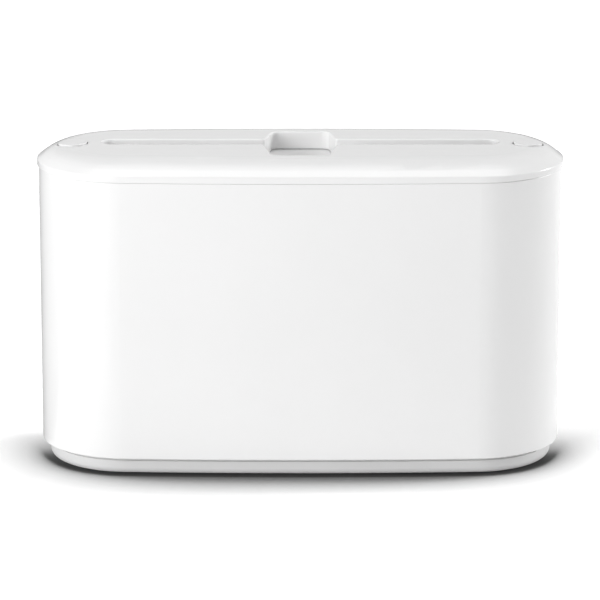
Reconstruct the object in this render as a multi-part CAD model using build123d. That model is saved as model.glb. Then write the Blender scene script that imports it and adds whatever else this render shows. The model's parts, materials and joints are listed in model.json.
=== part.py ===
from build123d import *
from math import atan2, hypot, pi, sqrt, tan
import os

# Countertop dispenser for folded paper towels.
# Millimetres, +Z up, front towards -Y, origin under the middle of the feet.

# Overall outline of the lid in plan: four arcs, slightly bowed long sides and round ends
overall_width = 323.4
overall_depth = 116.0
side_radius = 2125.0

# Heights of the stack, from the table up
foot_height = 0.4
base_reveal = 10.6
body_height = 173.65
seam_gap = 0.3
lid_height = 12.35

# Lid form: a low rim, a soft slope and a flat top
rim_height = 3.95
shoulder_width = 11.1
crown_radius = 25.0
rim_crease_radius = 1.0
lid_wall = 2.4
lid_shelf = 2.0
lid_skirt_wall = 2.0
lid_edge_radius = 0.3

# Opening in the lid: its slot lies behind the middle and ends short of the buttons
slot_setback = 4.5
slot_button_gap = 7.95
slot_width = 14.0
hexagon_width = 47.0
hexagon_depth = 66.0
hexagon_flat = 34.0
hexagon_corner_radius = 5.0
slot_corner_radius = 2.0
throat_edge_radius = 1.0
throat_wall = 2.0
throat_depth = 10.9

# Body
body_inset = 1.0
body_wall = 2.8
body_bottom_radius = 0.8
body_top_radius = 0.4

# Base: a narrow groove between it and the body
base_inset = 5.8
base_floor = 3.0
base_overlap = 5.0
base_bottom_radius = 4.0
groove_height = 2.2
groove_depth = 0.8
neck_wall = 1.2
plug_lift = 0.4

# Rubber feet
foot_radius = 8.0
foot_recess = 1.2
foot_x = 112.0
foot_y = 27.0
foot_edge_radius = 0.5

# Clearances
fit_clearance = 0.3
running_clearance = 0.05
screw_clearance = 0.1

# Cutters run past the faces that they cut, and joined pieces sink into each other
overshoot = 1.0
merge_depth = 0.5
height_tolerance = 0.001

# Towel magazine, set in from the outline
magazine_end_gap = 42.7
magazine_side_gap = 14.5
magazine_wall = 1.8
magazine_corner_radius = 4.0
magazine_boss_y = 12.0

# Top collar
collar_plate = 3.0
collar_drop = 6.5
collar_screw_y = 18.5
collar_screw_inset = 10.3

# Guide rods and lift springs
rod_radius = 2.0
rod_x_gap = 9.0
rod_y = 33.0
rod_socket_radius = 6.0
rod_socket_height = 5.5
rod_end_skin = 1.0
rod_cap_radius = 4.0
rod_cap_height = 4.0
rod_edge = 0.4
spring_radius = 5.5
spring_wire = 0.8

# Platform
platform_plate = 2.5
platform_edge_radius = 0.8
platform_gap = 0.5
platform_skirt_wall = 1.8
platform_clearance = 0.6
platform_lug_radius = 6.2
platform_lug_height = 8.0
platform_lug_width = 9.0
platform_rib_wall = 1.5
platform_rib_height = 8.0
platform_rib_x = 60.0
platform_rib_y = 18.0
platform_travel = 136.0
lug_slot_spare = 2.0
bushing_wall = 1.2
bushing_flange_radius = 4.6
bushing_flange = 1.0

# Release buttons
button_radius = 8.75
button_end_gap = 21.9
button_gap = 0.9
button_proud = 0.8
button_edge_radius = 0.4
button_flange_width = 2.0
button_flange = 1.6
button_seat_drop = 2.8
button_seat_wall = 1.85
button_stem_radius = 3.5
button_travel = 3.5

# Latch levers
pivot_x_gap = 10.0
pin_radius = 1.5
pin_head_radius = 2.6
pin_head = 0.8
lever_hub_radius = 3.2
lever_width = 8.0
lever_nose_radius = 2.5
lever_nose_offset = 1.7
lever_arm_height = 2.8
lever_arm_drop = 0.9
lever_leg_wall = 2.6
hook_reach = 2.5
hook_height = 4.2
hook_tip_wall = 1.0
hook_point = 2.0
catch_gap = 0.5
catch_bar_width = 4.2
catch_bar_height = 3.0
catch_drop = 13.0

# Latch housings
housing_plate = 3.0
housing_corner_radius = 2.0
housing_half_length = 24.0
housing_inner_gap = 4.0
housing_outer_gap = 7.2
cheek_wall = 2.0
cheek_inner_gap = 5.0
cheek_outer_gap = 4.5
housing_floor = 2.0
housing_floor_lift = 3.5
housing_screw_y = 19.0
pocket_wall = 1.7
pocket_side_gap = 1.2
latch_spring_radius = 3.0
latch_spring_wire = 0.6
latch_spring_seat = 0.5
cheek_window_drop = 6.4

# Screws
screw_radius = 1.3
screw_head_radius = 2.5
screw_head = 1.5
screw_bite = 6.0
screw_spare = 1.0
boss_radius = 2.8
boss_height = 30.0
collar_boss_height = 16.0
body_boss_end_gap = 17.2
body_boss_y = 16.0
screw_edge = 0.4
cross_length = 3.2
cross_width = 0.7
cross_depth = 0.8

# Plan sizes that follow
half_width = overall_width / 2
half_depth = overall_depth / 2
side_offset = side_radius - half_depth
end_radius = (side_radius**2 - side_offset**2 - half_width**2) / (2 * (side_radius - half_width))
end_centre = half_width - end_radius
body_inner = body_inset + body_wall
inner_fit = body_inner + fit_clearance
skirt_inner = inner_fit + lid_skirt_wall
neck_inset = base_inset + groove_depth
base_inner = neck_inset + neck_wall
magazine_half_length = half_width - magazine_end_gap
magazine_half_depth = half_depth - magazine_side_gap
magazine_outer_x = magazine_half_length + magazine_wall
magazine_outer_y = magazine_half_depth + magazine_wall
rod_x = magazine_outer_x + rod_x_gap
button_x = half_width - button_end_gap
pivot_x = magazine_outer_x + pivot_x_gap
nose_x = button_x + lever_nose_offset
body_boss_x = half_width - body_boss_end_gap
magazine_boss_x = magazine_outer_x + boss_radius - magazine_wall / 2
pilot_radius = screw_radius + running_clearance
screw_hole_radius = screw_radius + screw_clearance
head_hole_radius = screw_head_radius + screw_clearance
rod_hole_radius = rod_radius + running_clearance
bushing_radius = rod_hole_radius + bushing_wall
button_hole_radius = button_radius + button_gap
slot_length = 2 * (button_x - button_hole_radius - slot_button_gap)

# Heights that follow
base_bottom = foot_height
floor_top = base_bottom + base_floor
body_bottom = base_bottom + base_reveal
base_shoulder = body_bottom - groove_height
plug_bottom = body_bottom + plug_lift
base_top = body_bottom + base_overlap
body_top = body_bottom + body_height
lid_bottom = body_top + seam_gap
lid_top = lid_bottom + lid_height
collar_top = body_top - collar_drop
collar_bottom = collar_top - collar_plate
skirt_bottom = collar_top + fit_clearance
throat_bottom = lid_top - throat_depth
platform_top = throat_bottom - platform_gap
lug_top = collar_bottom - fit_clearance
lug_bottom = lug_top - platform_lug_height
lug_slot_bottom = lug_bottom - platform_travel - lug_slot_spare
rod_bottom = floor_top + rod_end_skin
rod_cap_top = collar_top + rod_cap_height
rod_top = rod_cap_top - rod_end_skin
spring_bottom = floor_top + rod_socket_height
flange_top = lid_top - lid_wall - button_seat_drop - fit_clearance
flange_bottom = flange_top - button_flange
plate_top = flange_bottom - button_travel - fit_clearance
plate_bottom = plate_top - housing_plate
pivot_z = plate_bottom - fit_clearance - lever_hub_radius
catch_bottom = collar_bottom - catch_drop
catch_top = catch_bottom + catch_bar_height
hook_top = catch_bottom - fit_clearance
housing_bottom = catch_bottom + housing_floor_lift
housing_floor_top = housing_bottom + housing_floor

ENDS = (-1, 1)
CORNERS = [(x, y) for x in ENDS for y in ENDS]


def end_x(y, inset):
    """Half width of the round end at y, for an outline set in by inset."""
    return end_centre + sqrt((end_radius - inset) ** 2 - y**2)


def oval(inset):
    """The lid's outline, set in evenly, as a face at z = 0."""
    reach = side_radius - inset
    span = hypot(end_centre, side_offset)
    corner_x = reach * end_centre / span
    corner_y = reach * side_offset / span - side_offset
    far_y = half_depth - inset
    far_x = half_width - inset
    back = ThreePointArc((-corner_x, corner_y), (0, far_y), (corner_x, corner_y))
    right = ThreePointArc((corner_x, corner_y), (far_x, 0), (corner_x, -corner_y))
    front = ThreePointArc((corner_x, -corner_y), (0, -far_y), (-corner_x, -corner_y))
    left = ThreePointArc((-corner_x, -corner_y), (-far_x, 0), (-corner_x, corner_y))
    return make_face([back, right, front, left])


def prism(inset, low, high):
    """A straight solid on the set-in outline between two heights."""
    return extrude(Pos(0, 0, low) * oval(inset), high - low)


def block(x0, x1, y0, y1, z0, z1):
    """A box between two corners, given in any order."""
    return Pos((x0 + x1) / 2, (y0 + y1) / 2, (z0 + z1) / 2) * Box(abs(x1 - x0), abs(y1 - y0), abs(z1 - z0))


def post(x, y, radius, low, high):
    """An upright cylinder between two heights, given in any order."""
    return Pos(x, y, (low + high) / 2) * Cylinder(radius, abs(high - low))


def through_hole(x, y, radius, low, high):
    """The cutter of a hole right through from one height to another."""
    return post(x, y, radius, low - overshoot, high + overshoot)


def blind_hole(x, y, radius, end, mouth):
    """The cutter of a hole that ends at one height and opens at the other."""
    past = overshoot if mouth > end else -overshoot
    return post(x, y, radius, end, mouth + past)


def rounded_box(half_x, half_y, radius, low, high):
    """A centred box with rounded upright corners."""
    return extrude(Pos(0, 0, low) * RectangleRounded(2 * half_x, 2 * half_y, radius), high - low)


def edges_at(solid, z):
    """The edges that lie flat at one height."""

    def lies_flat(edge):
        box = edge.bounding_box()
        return max(abs(box.min.Z - z), abs(box.max.Z - z)) < height_tolerance

    return solid.edges().filter_by(lies_flat)


def lid_form(inset):
    """The lid's outer form, or the same form set in evenly by a wall."""
    rise = lid_top - lid_bottom - rim_height
    slope = atan2(rise, shoulder_width)
    top = lid_top - inset
    plan_cut = shoulder_width - inset + inset * tan(slope / 2)
    height_cut = rise - inset + inset * tan(pi / 4 - slope / 2)
    form = prism(inset, lid_bottom, top)
    face = form.faces().sort_by(Axis.Z)[-1]
    form = chamfer(face.edges(), length=plan_cut, length2=height_cut, reference=face)
    return fillet(edges_at(form, top), crown_radius - inset)


def cross_recess(head_z, direction):
    """The cross recess of a screw, cut into the head from head_z along direction."""
    reach = cross_length / 2
    bar = block(-reach, reach, -cross_width / 2, cross_width / 2, head_z, head_z + direction * cross_depth)
    return bar + Rot(0, 0, 90) * bar


def screw(length, up):
    """A pan head screw at the origin, its head's seat at z = 0 and its shank up or down."""
    sign = 1 if up else -1
    shank = post(0, 0, screw_radius, 0, sign * length)
    shank = chamfer(edges_at(shank, sign * length), screw_edge)
    head = post(0, 0, screw_head_radius, 0, -sign * screw_head)
    head = fillet(edges_at(head, -sign * screw_head), screw_edge)
    return shank + head - cross_recess(-sign * screw_head, sign)


def body_boss_places():
    return [(x * body_boss_x, y * body_boss_y) for x, y in CORNERS]


def magazine_boss_places():
    return [(x * magazine_boss_x, y * magazine_boss_y) for x, y in CORNERS]


def collar_screw_places():
    far = end_x(collar_screw_y, collar_screw_inset)
    return [(x * far, y * collar_screw_y) for x, y in CORNERS]


def rod_places():
    return [(x * rod_x, y * rod_y) for x, y in CORNERS]


def housing_screw_places():
    return [(x * button_x, y * housing_screw_y) for x, y in CORNERS]


def foot_places():
    return [(x * foot_x, y * foot_y) for x, y in CORNERS]


def cheek_reach():
    """How far the housing's cheeks reach from the middle plane."""
    return lever_width / 2 + fit_clearance + cheek_wall


def lid_opening():
    """Plan of the long slot with the hexagonal finger opening across its middle."""
    hexagon = Polygon(
        (-hexagon_width / 2, slot_setback),
        (-hexagon_flat / 2, -hexagon_depth / 2),
        (hexagon_flat / 2, -hexagon_depth / 2),
        (hexagon_width / 2, slot_setback),
        (hexagon_flat / 2, hexagon_depth / 2),
        (-hexagon_flat / 2, hexagon_depth / 2),
        align=None,
    )
    plan = hexagon + Pos(0, slot_setback) * SlotOverall(slot_length, slot_width)
    far = [v for v in plan.vertices() if abs(v.Y - slot_setback) > slot_width]
    plan = fillet(far, hexagon_corner_radius)
    near = [v for v in plan.vertices() if abs(v.Y - slot_setback) < slot_width and abs(v.X) < hexagon_width / 2]
    return fillet(near, slot_corner_radius)


def make_lid_cover():
    """Lid shell with shelf, locating skirt, throat walls, button seats and screw bosses."""
    shell = lid_form(0)
    shell = fillet(edges_at(shell, lid_bottom), lid_edge_radius)
    shell = fillet(edges_at(shell, lid_bottom + rim_height), rim_crease_radius)
    cavity = lid_form(lid_wall) - prism(0, lid_bottom - overshoot, lid_bottom + lid_shelf)
    inside = prism(skirt_inner, lid_bottom - overshoot, lid_bottom + lid_shelf)
    skirt = prism(inner_fit, skirt_bottom, lid_bottom + lid_shelf / 2)
    skirt -= prism(skirt_inner, skirt_bottom, lid_bottom + lid_shelf)
    opening = lid_opening()
    throat = extrude(Pos(0, 0, throat_bottom) * offset(opening, throat_wall), throat_depth - lid_wall / 2)
    seat_bottom = flange_top + fit_clearance
    seat_radius = button_hole_radius + button_seat_wall
    fixings = [post(side * button_x, 0, seat_radius, seat_bottom, lid_top) for side in ENDS]
    fixings += [post(x, y, boss_radius, plate_top, lid_top) for x, y in housing_screw_places()]
    room = lid_form(lid_wall / 2)
    cover = shell - cavity - inside + skirt + throat
    cover += [room & piece for piece in fixings]
    cover -= extrude(Pos(0, 0, throat_bottom - overshoot) * opening, throat_depth + 2 * overshoot)
    for side in ENDS:
        cover -= through_hole(side * button_x, 0, button_hole_radius, seat_bottom, lid_top)
    for x, y in housing_screw_places():
        cover -= blind_hole(x, y, pilot_radius, plate_top + screw_bite, plate_top)
    short = [edge for edge in edges_at(cover, lid_top) if edge.bounding_box().size.Y < hexagon_depth]
    rim = [edge for edge in short if abs(edge.center().X) < slot_length / 2]
    return fillet(rim, throat_edge_radius)


def make_body_shell():
    """Tall oval wall with the screw bosses for base and collar on its inside."""
    outer = prism(body_inset, body_bottom, body_top)
    outer = fillet(edges_at(outer, body_bottom), body_bottom_radius)
    outer = fillet(edges_at(outer, body_top), body_top_radius)
    room = prism(body_inner, body_bottom - overshoot, body_top + overshoot)
    middle = body_inset + body_wall / 2
    half_rib = boss_radius / 2
    rib_low = base_top + fit_clearance
    rib_high = floor_top + boss_height
    bosses = [post(x, y, boss_radius, floor_top, rib_high) for x, y in body_boss_places()]
    wall_x = end_x(body_boss_y, middle)
    for x, y in body_boss_places():
        far = x / abs(x) * wall_x
        bosses.append(block(x, far, y - half_rib, y + half_rib, rib_low, rib_high))
    low = collar_bottom - collar_boss_height
    reach = end_x(collar_screw_y + boss_radius, body_inner) + body_wall / 2
    for x, y in collar_screw_places():
        far = x / abs(x) * reach
        bosses.append(post(x, y, boss_radius, low, collar_bottom))
        bosses.append(block(x, far, y - boss_radius, y + boss_radius, low, collar_bottom))
    shell = outer - room + bosses
    for x, y in body_boss_places():
        shell -= blind_hole(x, y, pilot_radius, floor_top + screw_bite + screw_spare, floor_top)
    for x, y in collar_screw_places():
        shell -= blind_hole(x, y, pilot_radius, collar_bottom - screw_bite - screw_spare, collar_bottom)
    return shell


def make_base_tray():
    """Shallow oval tray with a neck and a plug into the body, sockets for rods and recesses for feet."""
    tray = prism(base_inset, base_bottom, base_shoulder)
    tray = fillet(edges_at(tray, base_bottom), base_bottom_radius)
    tray += prism(neck_inset, base_shoulder - merge_depth, plug_bottom + merge_depth)
    tray += prism(inner_fit, plug_bottom, base_top)
    tray -= prism(base_inner, floor_top, base_top + overshoot)
    tray += [post(x, y, rod_socket_radius, floor_top - merge_depth, spring_bottom) for x, y in rod_places()]
    for x, y in rod_places():
        tray -= blind_hole(x, y, rod_hole_radius, rod_bottom, spring_bottom)
    for x, y in foot_places():
        tray -= blind_hole(x, y, foot_radius + running_clearance, base_bottom + foot_recess, base_bottom)
    for x, y in body_boss_places() + magazine_boss_places():
        tray -= through_hole(x, y, screw_hole_radius, base_bottom, floor_top)
        tray -= blind_hole(x, y, head_hole_radius, base_bottom + screw_head, base_bottom)
    return tray


def make_rubber_feet():
    feet = []
    for x, y in foot_places():
        foot = post(x, y, foot_radius, 0, base_bottom + foot_recess)
        feet.append(fillet(edges_at(foot, 0), foot_edge_radius))
    return feet


def screws_from_below(places):
    """Screws whose heads sit in the base's recesses."""
    seat = base_bottom + screw_head
    length = base_floor - screw_head + screw_bite
    return [Pos(x, y, seat) * screw(length, True) for x, y in places]


def make_towel_magazine():
    """Open box around the towel stack, with slots for the platform's lugs in its end walls."""
    radius = magazine_corner_radius
    low = floor_top - overshoot
    high = collar_top + overshoot
    box = rounded_box(magazine_outer_x, magazine_outer_y, radius + magazine_wall, floor_top, collar_top)
    box -= rounded_box(magazine_half_length, magazine_half_depth, radius, low, high)
    boss_top = floor_top + boss_height
    for x, y in magazine_boss_places():
        box += post(x, y, boss_radius, floor_top, boss_top)
        box -= blind_hole(x, y, pilot_radius, floor_top + screw_bite + screw_spare, floor_top)
    half_slot = platform_lug_width / 2 + platform_clearance
    for x, y in rod_places():
        inner = x / abs(x) * (magazine_half_length - overshoot)
        outer = x / abs(x) * (magazine_outer_x + overshoot)
        box -= block(inner, outer, y - half_slot, y + half_slot, lug_slot_bottom, high)
    return box


def make_top_collar():
    """Ring inside the body's top: lid seat, rod caps and the two latch pockets with their catch bars."""
    low = catch_bottom - overshoot
    high = collar_top + overshoot
    hole_x = magazine_outer_x + fit_clearance
    hole_y = magazine_outer_y + fit_clearance
    inner_y = cheek_reach() + pocket_side_gap
    outer_y = inner_y + pocket_wall
    inner_end = nose_x + cheek_outer_gap + pocket_side_gap
    outer_end = inner_end + pocket_wall
    bar_near = pivot_x + lever_leg_wall / 2 + catch_gap
    bar_far = bar_near + catch_bar_width
    bar_y = inner_y + pocket_wall / 2
    ring = prism(inner_fit, collar_bottom, collar_top)
    for side in ENDS:
        ring += block(side * hole_x, side * outer_end, -outer_y, outer_y, catch_bottom, collar_bottom)
        ring -= block(side * (hole_x - overshoot), side * inner_end, -inner_y, inner_y, low, high)
        ring += block(side * bar_near, side * bar_far, -bar_y, bar_y, catch_bottom, catch_top)
    ring -= rounded_box(hole_x, hole_y, magazine_corner_radius + magazine_wall, low, high)
    ring += [post(x, y, rod_cap_radius, collar_bottom, rod_cap_top) for x, y in rod_places()]
    for x, y in rod_places():
        ring -= blind_hole(x, y, rod_hole_radius, rod_top, collar_bottom)
    for x, y in collar_screw_places():
        ring -= through_hole(x, y, screw_hole_radius, collar_bottom, collar_top)
        ring -= blind_hole(x, y, head_hole_radius, collar_top - screw_head, collar_top)
    return ring


def make_collar_screws():
    length = collar_plate - screw_head + screw_bite
    return [Pos(x, y, collar_top - screw_head) * screw(length, False) for x, y in collar_screw_places()]


def make_guide_rods():
    rods = []
    for x, y in rod_places():
        rod = post(x, y, rod_radius, rod_bottom, rod_top)
        rods.append(chamfer(edges_at(rod, rod_bottom) + edges_at(rod, rod_top), rod_edge))
    return rods


def make_lift_springs():
    """Each spring as the plain sleeve that its coils fill."""
    springs = []
    for x, y in rod_places():
        sleeve = post(x, y, spring_radius, spring_bottom, lug_bottom)
        springs.append(sleeve - through_hole(x, y, spring_radius - spring_wire, spring_bottom, lug_bottom))
    return springs


def make_lift_platform():
    """Plate under the towels with a guide skirt, ribs and four lugs that reach the rods."""
    half_x = magazine_half_length - platform_clearance
    half_y = magazine_half_depth - platform_clearance
    plate_low = platform_top - platform_plate
    plate = rounded_box(half_x, half_y, magazine_corner_radius, lug_bottom, platform_top)
    plate = fillet(edges_at(plate, platform_top), platform_edge_radius)
    wall = platform_skirt_wall
    low = lug_bottom - overshoot
    plate -= rounded_box(half_x - wall, half_y - wall, magazine_corner_radius - wall, low, plate_low)
    rib_low = plate_low - platform_rib_height
    rib_high = plate_low + merge_depth
    rib_x = half_x - merge_depth
    rib_y = half_y - merge_depth
    half_rib = platform_rib_wall / 2
    for side in ENDS:
        y = side * platform_rib_y
        x = side * platform_rib_x
        plate += block(-rib_x, rib_x, y - half_rib, y + half_rib, rib_low, rib_high)
        plate += block(x - half_rib, x + half_rib, -rib_y, rib_y, rib_low, rib_high)
    half_lug = platform_lug_width / 2
    flange_hole_radius = bushing_flange_radius + running_clearance
    for x, y in rod_places():
        inner = x / abs(x) * (half_x - wall / 2)
        plate += block(inner, x, y - half_lug, y + half_lug, lug_bottom, lug_top)
        plate += post(x, y, platform_lug_radius, lug_bottom, lug_top)
        plate -= through_hole(x, y, bushing_radius + running_clearance, lug_bottom, lug_top)
        plate -= blind_hole(x, y, flange_hole_radius, lug_top - bushing_flange, lug_top)
    return plate


def make_platform_bushings():
    bushings = []
    for x, y in rod_places():
        sleeve = post(x, y, bushing_radius, lug_bottom, lug_top)
        sleeve += post(x, y, bushing_flange_radius, lug_top - bushing_flange, lug_top)
        bushings.append(sleeve - through_hole(x, y, rod_hole_radius, lug_bottom, lug_top))
    return bushings


def make_release_button(side):
    """Round cap that follows the lid's form, with a retaining flange and a stem to the lever."""
    cap = post(side * button_x, 0, button_radius, flange_bottom, lid_top + button_proud + overshoot)
    cap &= Pos(0, 0, button_proud) * lid_form(0)
    flange = post(side * button_x, 0, button_radius + button_flange_width, flange_bottom, flange_top)
    stem_bottom = pivot_z + lever_nose_radius + fit_clearance
    stem = post(side * button_x, 0, button_stem_radius, stem_bottom, flange_bottom + merge_depth)
    rim = [edge for edge in cap.edges() if edge.bounding_box().min.Z > flange_top]
    cap = fillet(rim, button_edge_radius)
    return cap + flange + stem


def lever_profile():
    """The right lever's side view in the XZ plane."""
    leg_in = pivot_x - lever_leg_wall / 2
    leg_out = pivot_x + lever_leg_wall / 2
    hook_tip = leg_out + hook_reach
    hub = Pos(pivot_x, pivot_z) * Circle(lever_hub_radius)
    nose = Pos(nose_x, pivot_z) * Circle(lever_nose_radius)
    arm_middle = Pos((pivot_x + nose_x) / 2, pivot_z - lever_arm_drop)
    arm = arm_middle * Rectangle(nose_x - pivot_x, lever_arm_height)
    leg = Polygon(
        (leg_in, pivot_z),
        (leg_out, pivot_z),
        (leg_out, hook_top),
        (hook_tip, hook_top),
        (hook_tip, hook_top - hook_tip_wall),
        (leg_in + hook_point, hook_top - hook_height),
        (leg_in, hook_top - hook_height),
        align=None,
    )
    return hub + nose + arm + leg - Pos(pivot_x, pivot_z) * Circle(pin_radius + running_clearance)


def make_latch_lever(side):
    """Bell crank: nose under the button's stem, hook under the catch bar."""
    plan = Plane.XZ * lever_profile()
    lever = extrude(plan, lever_width / 2, both=True)
    return lever if side > 0 else mirror(lever, Plane.YZ)


def make_latch_housing(side):
    """Frame under the lid: plate with the stem's bore, two cheeks with the pivot and a spring floor."""
    inner_x = pivot_x - housing_inner_gap
    plate_end = nose_x + housing_outer_gap - lever_nose_offset
    cheek_low = pivot_x - cheek_inner_gap
    cheek_high = nose_x + cheek_outer_gap
    floor_low = nose_x - latch_spring_radius - latch_spring_seat
    window_top = pivot_z - cheek_window_drop
    reach = cheek_reach()
    frame = block(inner_x, plate_end, -housing_half_length, housing_half_length, plate_bottom, plate_top)
    frame = fillet(frame.edges().filter_by(Axis.Z), housing_corner_radius)
    for y in ENDS:
        inner = y * (reach - cheek_wall)
        frame += block(cheek_low, cheek_high, inner, y * reach, window_top, plate_bottom + merge_depth)
        frame += block(floor_low, cheek_high, inner, y * reach, housing_bottom, plate_bottom)
    frame += block(floor_low, cheek_high, -reach, reach, housing_bottom, housing_floor_top)
    frame -= through_hole(button_x, 0, button_stem_radius + running_clearance, plate_bottom, plate_top)
    pivot_bore = Cylinder(pin_radius + running_clearance, 2 * (reach + overshoot))
    frame -= Pos(pivot_x, 0, pivot_z) * Rot(90, 0, 0) * pivot_bore
    for y in ENDS:
        frame -= through_hole(button_x, y * housing_screw_y, screw_hole_radius, plate_bottom, plate_top)
    return frame if side > 0 else mirror(frame, Plane.YZ)


def make_latch_pin(side):
    """Headed pin through both cheeks and the lever's hub."""
    reach = cheek_reach() + fit_clearance
    turn = Rot(90, 0, 0)
    pin = turn * Cylinder(pin_radius, 2 * reach)
    head = Pos(0, -cheek_reach() - pin_head / 2, 0) * turn * Cylinder(pin_head_radius, pin_head)
    return Pos(side * pivot_x, 0, pivot_z) * (pin + head)


def make_latch_spring(side):
    """The latch spring as the plain sleeve that its coils fill."""
    top = pivot_z - lever_nose_radius
    x = side * nose_x
    sleeve = post(x, 0, latch_spring_radius, housing_floor_top, top)
    return sleeve - through_hole(x, 0, latch_spring_radius - latch_spring_wire, housing_floor_top, top)


def make_housing_screws():
    length = housing_plate + screw_bite - screw_spare
    return [Pos(x, y, plate_bottom) * screw(length, True) for x, y in housing_screw_places()]


def save(name, shape):
    """Write one sub-part, a single solid or a group of separate solids."""
    solids = shape if isinstance(shape, list) else [shape]
    solids = [s for piece in solids for s in piece.solids()]
    whole = solids[0] if len(solids) == 1 else Compound(children=solids)
    export_step(whole, os.path.join("parts", name + ".step"))


os.makedirs("parts", exist_ok=True)
save("base_tray", make_base_tray())
save("rubber_feet", make_rubber_feet())
save("body_shell", make_body_shell())
save("body_screws", screws_from_below(body_boss_places()))
save("towel_magazine", make_towel_magazine())
save("magazine_screws", screws_from_below(magazine_boss_places()))
save("top_collar", make_top_collar())
save("collar_screws", make_collar_screws())
save("guide_rods", make_guide_rods())
save("lift_springs", make_lift_springs())
save("lift_platform", make_lift_platform())
save("platform_bushings", make_platform_bushings())
save("lid_cover", make_lid_cover())
save("housing_screws", make_housing_screws())
for side, end in ((-1, "left"), (1, "right")):
    save(end + "_release_button", make_release_button(side))
    save(end + "_latch_lever", make_latch_lever(side))
    save(end + "_latch_housing", make_latch_housing(side))
    save(end + "_latch_pin", make_latch_pin(side))
    save(end + "_latch_spring", make_latch_spring(side))
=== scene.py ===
import json
from math import cos, pi, radians, sin, tau

import bpy
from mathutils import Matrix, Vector


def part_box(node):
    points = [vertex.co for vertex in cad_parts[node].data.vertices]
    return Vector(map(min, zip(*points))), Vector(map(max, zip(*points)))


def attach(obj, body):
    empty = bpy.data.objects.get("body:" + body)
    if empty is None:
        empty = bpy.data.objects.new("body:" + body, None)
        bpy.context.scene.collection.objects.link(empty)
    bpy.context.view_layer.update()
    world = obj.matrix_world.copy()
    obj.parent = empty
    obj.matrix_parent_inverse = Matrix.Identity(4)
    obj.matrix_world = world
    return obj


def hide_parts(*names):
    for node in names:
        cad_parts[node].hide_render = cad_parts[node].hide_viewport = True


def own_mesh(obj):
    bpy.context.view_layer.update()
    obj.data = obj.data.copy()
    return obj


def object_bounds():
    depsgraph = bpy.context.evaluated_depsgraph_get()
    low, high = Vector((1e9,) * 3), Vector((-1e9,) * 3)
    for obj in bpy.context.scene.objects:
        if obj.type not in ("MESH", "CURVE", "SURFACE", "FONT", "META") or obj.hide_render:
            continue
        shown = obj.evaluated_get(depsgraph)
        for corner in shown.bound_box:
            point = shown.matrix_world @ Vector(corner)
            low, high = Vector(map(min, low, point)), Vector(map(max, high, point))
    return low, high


# Countertop paper towel dispenser: finishes, coil springs, floor, light and camera.
# Metres, +Z up, front towards -Y.

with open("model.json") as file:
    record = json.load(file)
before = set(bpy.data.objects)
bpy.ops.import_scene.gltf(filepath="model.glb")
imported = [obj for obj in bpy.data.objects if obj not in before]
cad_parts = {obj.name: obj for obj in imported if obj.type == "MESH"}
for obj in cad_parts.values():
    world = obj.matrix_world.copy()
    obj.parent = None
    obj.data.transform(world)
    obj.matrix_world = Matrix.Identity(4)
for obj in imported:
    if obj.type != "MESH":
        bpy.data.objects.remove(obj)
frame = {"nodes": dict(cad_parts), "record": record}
cad_low, cad_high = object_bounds()
nodes = frame["nodes"]
scene = bpy.context.scene
scene.view_settings.view_transform = "Standard"
MM = 0.001

# Patterns of the surfaces, in cells per metre, and the range in which noise values mostly lie
cloud_scale = 14
gloss_scale = 55
peel_scale = 260
mottle_scale = 120
smudge_scale = 90
dust_scale = 1500
noise_low = 0.3
noise_high = 0.7

# How far roughness strays to each side
plastic_stray = 0.03
steel_stray = 0.08
rubber_stray = 0.08

plastic_ior = 1.5
steel_relief = 0.01 * MM
rubber_relief = 0.05 * MM


def principled(name):
    """A new material with only a Principled shader. Returns material, node tree, shader."""
    material = bpy.data.materials.new(name)
    material.use_nodes = True
    tree = material.node_tree
    return material, tree, tree.nodes["Principled BSDF"]


def noise(tree, place, scale, detail=2.0, stretch=(1, 1, 1)):
    """Noise in the part's own frame, in cells per metre."""
    mapping = tree.nodes.new("ShaderNodeMapping")
    mapping.inputs["Scale"].default_value = stretch
    tree.links.new(place, mapping.inputs["Vector"])
    texture = tree.nodes.new("ShaderNodeTexNoise")
    texture.inputs["Scale"].default_value = scale
    texture.inputs["Detail"].default_value = detail
    tree.links.new(mapping.outputs["Vector"], texture.inputs["Vector"])
    return texture.outputs["Fac"]


def spread(tree, value, low, high, from_low=noise_low, from_high=noise_high):
    """The value mapped from its usual range to low..high."""
    node = tree.nodes.new("ShaderNodeMapRange")
    node.inputs["From Min"].default_value = from_low
    node.inputs["From Max"].default_value = from_high
    node.inputs["To Min"].default_value = low
    node.inputs["To Max"].default_value = high
    tree.links.new(value, node.inputs["Value"])
    return node.outputs["Result"]


def tint(tree, value, dark, light):
    """A colour between two, chosen by the value."""
    ramp = tree.nodes.new("ShaderNodeValToRGB")
    ramp.color_ramp.elements[0].position = noise_low
    ramp.color_ramp.elements[0].color = (*dark, 1)
    ramp.color_ramp.elements[1].position = noise_high
    ramp.color_ramp.elements[1].color = (*light, 1)
    tree.links.new(value, ramp.inputs["Fac"])
    return ramp.outputs["Color"]


def bump(tree, height, distance, under=None):
    """Relief of the given depth from the value, on top of the relief under it."""
    node = tree.nodes.new("ShaderNodeBump")
    node.inputs["Distance"].default_value = distance
    tree.links.new(height, node.inputs["Height"])
    if under is not None:
        tree.links.new(under, node.inputs["Normal"])
    return node.outputs["Normal"]


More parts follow.
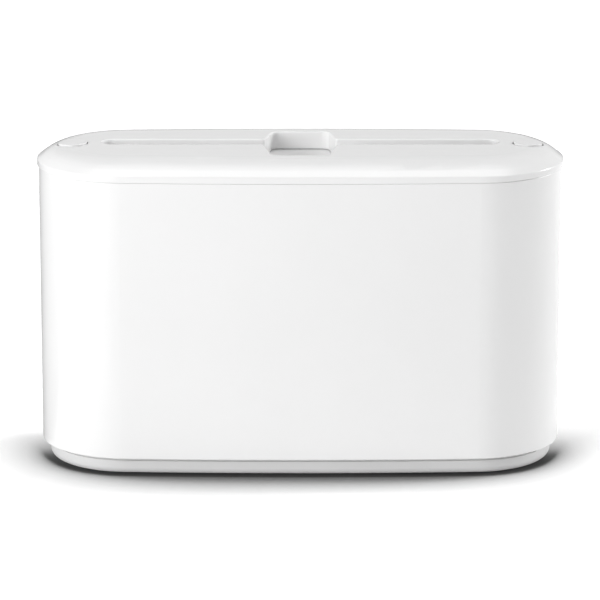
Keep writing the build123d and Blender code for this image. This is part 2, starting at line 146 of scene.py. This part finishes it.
def plastic(name, dark, light, rough, grain, grain_height):
    """Moulded plastic: faint cloudiness, uneven gloss, and the fine grain of the tool's surface."""
    material, tree, shader = principled(name)
    place = tree.nodes.new("ShaderNodeTexCoord").outputs["Object"]
    cloud = noise(tree, place, cloud_scale, detail=3.0)
    tree.links.new(tint(tree, cloud, dark, light), shader.inputs["Base Color"])
    uneven = noise(tree, place, gloss_scale, detail=4.0)
    gloss = spread(tree, uneven, rough - plastic_stray, rough + plastic_stray)
    tree.links.new(gloss, shader.inputs["Roughness"])
    peel = bump(tree, noise(tree, place, peel_scale), grain_height * 2)
    fine = bump(tree, noise(tree, place, grain), grain_height, under=peel)
    tree.links.new(fine, shader.inputs["Normal"])
    shader.inputs["IOR"].default_value = plastic_ior
    return material


def steel(name, dark, light, rough, stretch, scale=900):
    """Drawn or plated steel: fine lines along the draw, and a slight mottle."""
    material, tree, shader = principled(name)
    place = tree.nodes.new("ShaderNodeTexCoord").outputs["Object"]
    mottle = noise(tree, place, mottle_scale, detail=3.0)
    tree.links.new(tint(tree, mottle, dark, light), shader.inputs["Base Color"])
    lines = noise(tree, place, scale, detail=3.0, stretch=stretch)
    tree.links.new(spread(tree, lines, rough - steel_stray, rough + steel_stray), shader.inputs["Roughness"])
    tree.links.new(bump(tree, lines, steel_relief), shader.inputs["Normal"])
    shader.inputs["Metallic"].default_value = 1.0
    return material


def rubber(name, dark, light, rough):
    """Grey rubber with smudges and a dusty, dull skin."""
    material, tree, shader = principled(name)
    place = tree.nodes.new("ShaderNodeTexCoord").outputs["Object"]
    smudges = noise(tree, place, smudge_scale, detail=4.0)
    tree.links.new(tint(tree, smudges, dark, light), shader.inputs["Base Color"])
    dust = noise(tree, place, dust_scale, detail=3.0)
    tree.links.new(spread(tree, dust, rough - rubber_stray, rough + rubber_stray), shader.inputs["Roughness"])
    tree.links.new(bump(tree, dust, rubber_relief), shader.inputs["Normal"])
    return material


def grey(value):
    """A neutral colour."""
    return (value, value, value)


# Finishes: name, darker and lighter colour, roughness. Plastics go on with the cells per metre and the
# depth of their grain, and steels with the stretch of their lines
shell = plastic("shell_gloss", grey(0.862), grey(0.874), 0.2, 1800, 0.004 * MM)
button = plastic("button_gloss", grey(0.856), grey(0.87), 0.26, 1800, 0.004 * MM)
base = plastic("base_satin", grey(0.66), grey(0.68), 0.4, 1400, 0.012 * MM)
inner = plastic("inner_matt", grey(0.76), grey(0.78), 0.5, 1100, 0.02 * MM)
platform = plastic("platform_matt", grey(0.8), grey(0.82), 0.45, 1100, 0.02 * MM)
frame_grey = plastic("frame_matt", (0.55, 0.55, 0.56), (0.58, 0.58, 0.59), 0.5, 1100, 0.02 * MM)
acetal = plastic("acetal", (0.78, 0.77, 0.73), (0.82, 0.81, 0.77), 0.35, 900, 0.008 * MM)
rod_steel = steel("rod_steel", (0.55, 0.55, 0.56), (0.63, 0.63, 0.64), 0.28, (1, 1, 0.03))
wire_steel = steel("wire_steel", (0.5, 0.5, 0.52), (0.6, 0.6, 0.62), 0.32, (1, 1, 1))
zinc = steel("zinc", (0.6, 0.61, 0.63), (0.7, 0.71, 0.72), 0.38, (1, 1, 1), scale=600)
foot = rubber("foot_rubber_grey", grey(0.07), grey(0.11), 0.78)

finish_of = {
    "shell_plastic": shell,
    "button_plastic": button,
    "base_plastic": base,
    "inner_plastic": inner,
    "platform_plastic": platform,
    "frame_plastic": frame_grey,
    "slide_plastic": acetal,
    "rod_steel": rod_steel,
    "spring_steel": wire_steel,
    "screw_steel": zinc,
    "foot_rubber": foot,
}
for part in frame["record"]["subparts"]:
    mesh = nodes[part["node"]].data
    mesh.materials.clear()
    mesh.materials.append(finish_of[part["material_slot"]])


# Coil springs: radius over the wire, wire, and turns with the closed ones
lift_spring_radius = 5.5 * MM
lift_spring_wire = 0.8 * MM
lift_spring_turns = 24
latch_spring_radius = 3 * MM
latch_spring_wire = 0.6 * MM
latch_spring_turns = 8
closed_turns = 1
steps_per_turn = 28
wire_sides = 8


def spring_line(radius, wire, low, high, turns):
    """Points of a compression spring's wire, with one closed turn at each end."""
    points = []
    first = low + wire / 2
    last = high - wire / 2
    active = turns - 2 * closed_turns
    pitch = (last - first - 2 * closed_turns * wire) / active
    for i in range(turns * steps_per_turn + 1):
        t = i / steps_per_turn
        if t < closed_turns:
            z = first + wire * t
        elif t < closed_turns + active:
            z = first + wire * closed_turns + pitch * (t - closed_turns)
        else:
            z = last - wire * (turns - t)
        points.append(Vector((radius * cos(tau * t), radius * sin(tau * t), z)))
    return points


def tube(points, wire):
    """Vertices and faces of a round wire along the points, capped at both ends."""
    vertices = []
    faces = []
    count = len(points)
    for i, point in enumerate(points):
        ahead = (points[min(i + 1, count - 1)] - points[max(i - 1, 0)]).normalized()
        out = Vector((point.x, point.y, 0)).normalized()
        across = ahead.cross(out).normalized()
        out = across.cross(ahead)
        for k in range(wire_sides):
            angle = tau * k / wire_sides
            vertices.append(point + (out * cos(angle) + across * sin(angle)) * wire / 2)
    for i in range(count - 1):
        for k in range(wire_sides):
            a = i * wire_sides + k
            b = i * wire_sides + (k + 1) % wire_sides
            faces.append((a, b, b + wire_sides, a + wire_sides))
    faces.append(tuple(range(wire_sides - 1, -1, -1)))
    faces.append(tuple((count - 1) * wire_sides + k for k in range(wire_sides)))
    return vertices, faces


def make_springs(name, node, places, radius, wire, low, high, turns):
    """One object with a coil spring at each place."""
    vertices = []
    faces = []
    for x, y in places:
        points = spring_line(radius - wire / 2, wire, low, high, turns)
        ring, quads = tube(points, wire)
        start = len(vertices)
        vertices += [v + Vector((x, y, 0)) for v in ring]
        faces += [tuple(start + k for k in face) for face in quads]
    mesh = bpy.data.meshes.new(name)
    mesh.from_pydata(vertices, [], faces)
    mesh.polygons.foreach_set("use_smooth", [True] * len(mesh.polygons))
    mesh.materials.append(wire_steel)
    mesh.update()
    piece = bpy.data.objects.new(name, mesh)
    scene.collection.objects.link(piece)
    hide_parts(node)
    return piece


def make_lift_springs():
    """The four springs round the guide rods, which the platform presses together."""
    low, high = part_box("lift_springs")
    rod_x = high.x - lift_spring_radius
    rod_y = high.y - lift_spring_radius
    places = [(x * rod_x, y * rod_y) for x in (-1, 1) for y in (-1, 1)]
    coils = make_springs("lift_spring_coils", "lift_springs", places,
                         lift_spring_radius, lift_spring_wire, low.z, high.z, lift_spring_turns)
    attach(coils, "dispenser")
    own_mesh(coils)


def make_latch_spring(end):
    """The spring under a latch lever's nose, which the button presses together."""
    low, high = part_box(end + "_latch_spring")
    middle = (low.x + high.x) / 2
    coil = make_springs(end + "_latch_spring_coil", end + "_latch_spring", [(middle, 0)],
                        latch_spring_radius, latch_spring_wire, low.z, high.z, latch_spring_turns)
    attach(coil, "lid")
    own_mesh(coil)


make_lift_springs()
for end in ("left", "right"):
    make_latch_spring(end)

# Floor and room. Cameras and reflections see a white room, and the object gets a dimmer, plain one
white_sight = 1.0
ambient = 0.3
floor_reach = 12.0
floor_bounce = 0.8
floor_sight = 1.6

# Contact shade on the floor: openness of the place, then the share of white that is left there
contact_reach = 90 * MM
contact_samples = 32
contact_steps = [(0.0, 0.028), (0.3, 0.036), (0.41, 0.047), (0.47, 0.068), (0.5, 0.088), (0.525, 0.125),
                 (0.55, 0.2), (0.575, 0.292), (0.6, 0.375), (0.65, 0.49), (0.7, 0.575), (0.75, 0.665),
                 (0.82, 0.79), (1.0, 1.0)]

# Towards the back the shade fades: between these places the least openness rises from 0 to 1
fade_front = -98.6 * MM
fade_back = 73.8 * MM


def larger(tree, first, second):
    """The larger one of two values."""
    node = tree.nodes.new("ShaderNodeMath")
    node.operation = "MAXIMUM"
    tree.links.new(first, node.inputs[0])
    tree.links.new(second, node.inputs[1])
    return node.outputs[0]


def seen(tree):
    """1 for camera, glossy and transmission rays, else 0."""
    path = tree.nodes.new("ShaderNodeLightPath")
    total = path.outputs["Is Camera Ray"]
    for kind in ("Is Glossy Ray", "Is Transmission Ray"):
        total = larger(tree, total, path.outputs[kind])
    return total


def level(x_low, x_high, y_low, y_high, z):
    """Corners of a level rectangle."""
    return [(x_low, y_low, z), (x_high, y_low, z), (x_high, y_high, z), (x_low, y_high, z)]


def upright(x_low, x_high, y, z_low, z_high):
    """Corners of an upright rectangle across the view."""
    return [(x_low, y, z_low), (x_high, y, z_low), (x_high, y, z_high), (x_low, y, z_high)]


def plane(name, corners):
    """A sheet between four corners."""
    mesh = bpy.data.meshes.new(name)
    mesh.from_pydata(corners, [], [(0, 1, 2, 3)])
    sheet = bpy.data.objects.new(name, mesh)
    scene.collection.objects.link(sheet)
    return sheet


def contact_shade(tree):
    """Colour of the floor by how open it is: its own occlusion, or the fade if that is larger."""
    occlusion = tree.nodes.new("ShaderNodeAmbientOcclusion")
    occlusion.samples = contact_samples
    occlusion.inputs["Distance"].default_value = contact_reach
    position = tree.nodes.new("ShaderNodeSeparateXYZ")
    geometry = tree.nodes.new("ShaderNodeNewGeometry")
    tree.links.new(geometry.outputs["Position"], position.inputs[0])
    fade = spread(tree, position.outputs["Y"], 0.0, 1.0, fade_front, fade_back)
    ramp = tree.nodes.new("ShaderNodeValToRGB")
    elements = ramp.color_ramp.elements
    for place, value in contact_steps[len(elements):]:
        elements.new(place)
    for element, (place, value) in zip(elements, contact_steps):
        element.position = place
        element.color = (*grey(value), 1)
    tree.links.new(larger(tree, occlusion.outputs["AO"], fade), ramp.inputs["Fac"])
    return ramp.outputs["Color"]


def make_floor():
    """A white floor that keeps its shadow, whiter to the camera than to the light that it throws back."""
    floor = plane("floor", level(-floor_reach, floor_reach, -floor_reach, floor_reach, cad_low.z))
    material, tree, shader = principled("floor_white")
    tree.nodes.remove(shader)
    sight = tree.nodes.new("ShaderNodeVectorMath")
    sight.operation = "SCALE"
    sight.inputs["Scale"].default_value = floor_sight
    tree.links.new(contact_shade(tree), sight.inputs[0])
    mix = tree.nodes.new("ShaderNodeMix")
    mix.data_type = "RGBA"
    mix.inputs["A"].default_value = (*grey(floor_bounce), 1)
    tree.links.new(sight.outputs["Vector"], mix.inputs["B"])
    tree.links.new(seen(tree), mix.inputs["Factor"])
    diffuse = tree.nodes.new("ShaderNodeBsdfDiffuse")
    tree.links.new(mix.outputs["Result"], diffuse.inputs["Color"])
    tree.links.new(diffuse.outputs[0], tree.nodes["Material Output"].inputs["Surface"])
    floor.data.materials.append(material)


def make_room():
    """The world: white to the camera and in reflections, and dimmer as light on the object."""
    world = bpy.data.worlds.new("room")
    scene.world = world
    world.use_nodes = True
    tree = world.node_tree
    background = tree.nodes["Background"]
    background.inputs["Color"].default_value = (*grey(1), 1)
    strength = spread(tree, seen(tree), ambient, white_sight, 0.0, 1.0)
    tree.links.new(strength, background.inputs["Strength"])


# Studio cards, which only reflections show. Low behind the object they are dark, which gives its
# edges a thin grey line, and the one above gives the lid's slope its bright band
card_left = -2.2
card_right = 0.9
card_distance = 1.2
card_near_floor = 2 * MM
card_horizon = 0.3
card_height = 1.0
card_floor_right = 0.15
card_top_reach = 1.2
card_top_front = -0.6
card_top_back = 0.17
card_top_height = 1.6
cards = [
    ("card_back", upright(card_left, card_right, card_distance, card_horizon, card_height), 0.89),
    ("card_low", upright(card_left, card_right, card_distance, card_near_floor, card_horizon), 0.15),
    ("card_floor", level(card_left, card_floor_right, 0, card_distance, card_near_floor), 0.15),
    ("card_top", level(-card_top_reach, card_top_reach, card_top_front, card_top_back, card_top_height), 3.9),
]


def make_card(name, corners, glow):
    """A sheet that reflections see in an even light, and that nothing else sees."""
    sheet = plane(name, corners)
    material, tree, shader = principled(name)
    shader.inputs["Base Color"].default_value = (*grey(0), 1)
    shader.inputs["Specular IOR Level"].default_value = 0
    shader.inputs["Emission Color"].default_value = (*grey(1), 1)
    shader.inputs["Emission Strength"].default_value = glow
    sheet.data.materials.append(material)
    sheet.visible_camera = False
    sheet.visible_diffuse = False
    sheet.visible_transmission = False
    sheet.visible_volume_scatter = False
    sheet.visible_shadow = False


# name, kind, azimuth round from the front towards +X, elevation, size, light on a surface that faces it.
# Sizes are degrees for suns, and metres across for round soft boxes
lamps = [
    ("front", "AREA", -40, 15, 1.8, 1.5),
    ("key", "AREA", -60, 15, 1.8, 0.8),
    ("rim", "SUN", 105, 15, 20, 1.95),
    ("top", "SUN", 0, 90, 50, 0.65),
]
lamp_distance = 2.9
lamp_aim = Vector((0, 0, 0.1))


def direction(azimuth, elevation):
    """Unit vector from the object towards a place round it, for angles in radians."""
    return Vector((sin(azimuth) * cos(elevation), -cos(azimuth) * cos(elevation), sin(elevation)))


def make_lamp(name, kind, azimuth, elevation, size, power):
    """A sun or a round soft box that looks at the object."""
    light = bpy.data.lights.new(name, kind)
    if kind == "SUN":
        light.energy = power
        light.angle = radians(size)
    else:
        light.energy = power * pi * lamp_distance**2
        light.shape = "DISK"
        light.size = size
    lamp = bpy.data.objects.new(name, light)
    towards = direction(radians(azimuth), radians(elevation))
    lamp.location = lamp_aim + towards * lamp_distance
    lamp.rotation_mode = "QUATERNION"
    lamp.rotation_quaternion = towards.to_track_quat("Z", "Y")
    scene.collection.objects.link(lamp)


# Camera of the photograph
camera_distance = 2.6
camera_tilt = radians(14.96)
camera_aim = Vector((0, 0, 0.0915))
camera_lens = 251.4
camera_sensor = 36
camera_shift_x = -0.0005
camera_shift_y = 0.016
camera_near = 0.1
camera_far = 40


def make_camera():
    """A long lens, slightly above the object and straight in front of it."""
    data = bpy.data.cameras.new("camera")
    camera = bpy.data.objects.new("camera", data)
    data.sensor_width = camera_sensor
    data.lens = camera_lens
    data.shift_x = camera_shift_x
    data.shift_y = camera_shift_y
    data.clip_start = camera_near
    data.clip_end = camera_far
    towards = direction(0, camera_tilt)
    camera.location = camera_aim + towards * camera_distance
    camera.rotation_mode = "QUATERNION"
    camera.rotation_quaternion = towards.to_track_quat("Z", "Y")
    scene.collection.objects.link(camera)
    scene.camera = camera


make_floor()
make_room()
for name, corners, glow in cards:
    make_card(name, corners, glow)
for lamp in lamps:
    make_lamp(*lamp)
make_camera()
